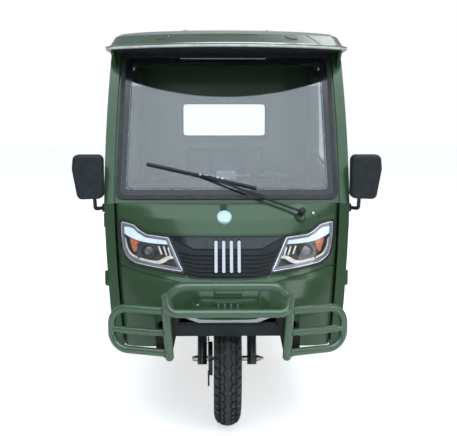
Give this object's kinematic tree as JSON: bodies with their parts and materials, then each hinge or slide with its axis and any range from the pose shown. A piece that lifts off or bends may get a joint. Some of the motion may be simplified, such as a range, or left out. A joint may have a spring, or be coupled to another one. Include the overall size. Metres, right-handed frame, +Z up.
{
  "type": "electric cargo tricycle",
  "caption": "Three-wheeled electric cargo vehicle: closed cab with doors over one steered front wheel, drop-side load bed over two driven wheels.",
  "frame": {"origin": "on the ground, below the middle of the vehicle's length and width", "axes": "+Z up, the vehicle faces -Y, +X is its left side"},
  "size_m": [1.3036, 3.149, 1.777],
  "materials": {
    "body_paint": "gloss",
    "chassis_paint": "satin",
    "white_trim": "gloss",
    "glass": "clear",
    "rubber": "matt",
    "black_plastic": "satin",
    "gloss_black": "gloss",
    "chrome": "polished",
    "lamp_black": "gloss",
    "lamp_clear": "clear",
    "lamp_red": "gloss",
    "seat_vinyl": "satin",
    "battery_case": "matt",
    "spring_steel": "satin",
    "cast_iron": "cast",
    "fork_black": "semi-gloss",
    "zinc": "plated",
    "wheel_paint": "semi-gloss",
    "tyre": "matt"
  },
  "bodies": {
    "vehicle_body": {"chassis_frame": "chassis_paint", "cab_floor": "chassis_paint", "front_panel": "body_paint", "nose_trim": "white_trim", "side_frame_left": "body_paint", "side_frame_right": "body_paint", "roof": "body_paint", "rear_panel": "body_paint", "rear_window": "glass", "windscreen_frame": "body_paint", "windscreen": "glass", "windscreen_seal": "rubber", "wiper": "black_plastic", "grille": "gloss_black", "grille_bars": "chrome", "headlamp_housings": "lamp_black", "headlamp_lenses": "lamp_clear", "front_guard": "body_paint", "side_guards": "body_paint", "mirrors": "black_plastic", "dashboard": "black_plastic", "seat_base": "chassis_paint", "seat_cushion": "seat_vinyl", "seat_backrest": "seat_vinyl", "battery": "battery_case", "leaf_springs": "spring_steel", "rear_axle": "cast_iron", "cargo_bed": "body_paint", "rear_mudguards": "black_plastic", "tail_lamps": "lamp_red"},
    "steering": {"fork": "fork_black", "handlebar": "fork_black", "front_axle": "zinc", "front_brake": "fork_black"},
    "front_wheel": {"front_rim": "wheel_paint", "front_tyre": "tyre"},
    "rear_wheel_left": {"rear_rim_left": "wheel_paint", "rear_tyre_left": "tyre"},
    "rear_wheel_right": {"rear_rim_right": "wheel_paint", "rear_tyre_right": "tyre"},
    "door_left": {"door_left": "body_paint", "door_glass_left": "glass"},
    "door_right": {"door_right": "body_paint", "door_glass_right": "glass"},
    "side_gate_left": {"side_gate_left": "body_paint"},
    "side_gate_right": {"side_gate_right": "body_paint"},
    "tailgate": {"tailgate": "body_paint"}
  },
  "joints": [
    {"name": "steering_turn", "type": "hinge", "parent": "vehicle_body", "child": "steering", "pos_m": [0, -1.10361, 0.27803], "axis": [0, 0.342, 0.9397], "range_deg": [-35, 35]},
    {"name": "front_wheel_spin", "type": "hinge", "parent": "steering", "child": "front_wheel", "pos_m": [0, -1.1365, 0.29], "axis": [1, 0, 0], "continuous": true},
    {"name": "rear_wheel_left_spin", "type": "hinge", "parent": "vehicle_body", "child": "rear_wheel_left", "pos_m": [0.44, 1.0135, 0.29], "axis": [1, 0, 0], "continuous": true},
    {"name": "rear_wheel_right_spin", "type": "hinge", "parent": "vehicle_body", "child": "rear_wheel_right", "pos_m": [-0.44, 1.0135, 0.29], "axis": [1, 0, 0], "continuous": true},
    {"name": "door_left_open", "type": "hinge", "parent": "vehicle_body", "child": "door_left", "pos_m": [0.536, -1.058, 0.77], "axis": [0, 0, -1], "range_deg": [0, 70]},
    {"name": "door_right_open", "type": "hinge", "parent": "vehicle_body", "child": "door_right", "pos_m": [-0.536, -1.058, 0.77], "axis": [0, 0, 1], "range_deg": [0, 70]},
    {"name": "side_gate_left_drop", "type": "hinge", "parent": "vehicle_body", "child": "side_gate_left", "pos_m": [0.535, 0.7885, 0.608], "axis": [0, 1, 0], "range_deg": [0, 175]},
    {"name": "side_gate_right_drop", "type": "hinge", "parent": "vehicle_body", "child": "side_gate_right", "pos_m": [-0.535, 0.7885, 0.608], "axis": [0, -1, 0], "range_deg": [0, 175]},
    {"name": "tailgate_drop", "type": "hinge", "parent": "vehicle_body", "child": "tailgate", "pos_m": [0, 1.5675, 0.608], "axis": [-1, 0, 0], "range_deg": [0, 175]}
  ]
}
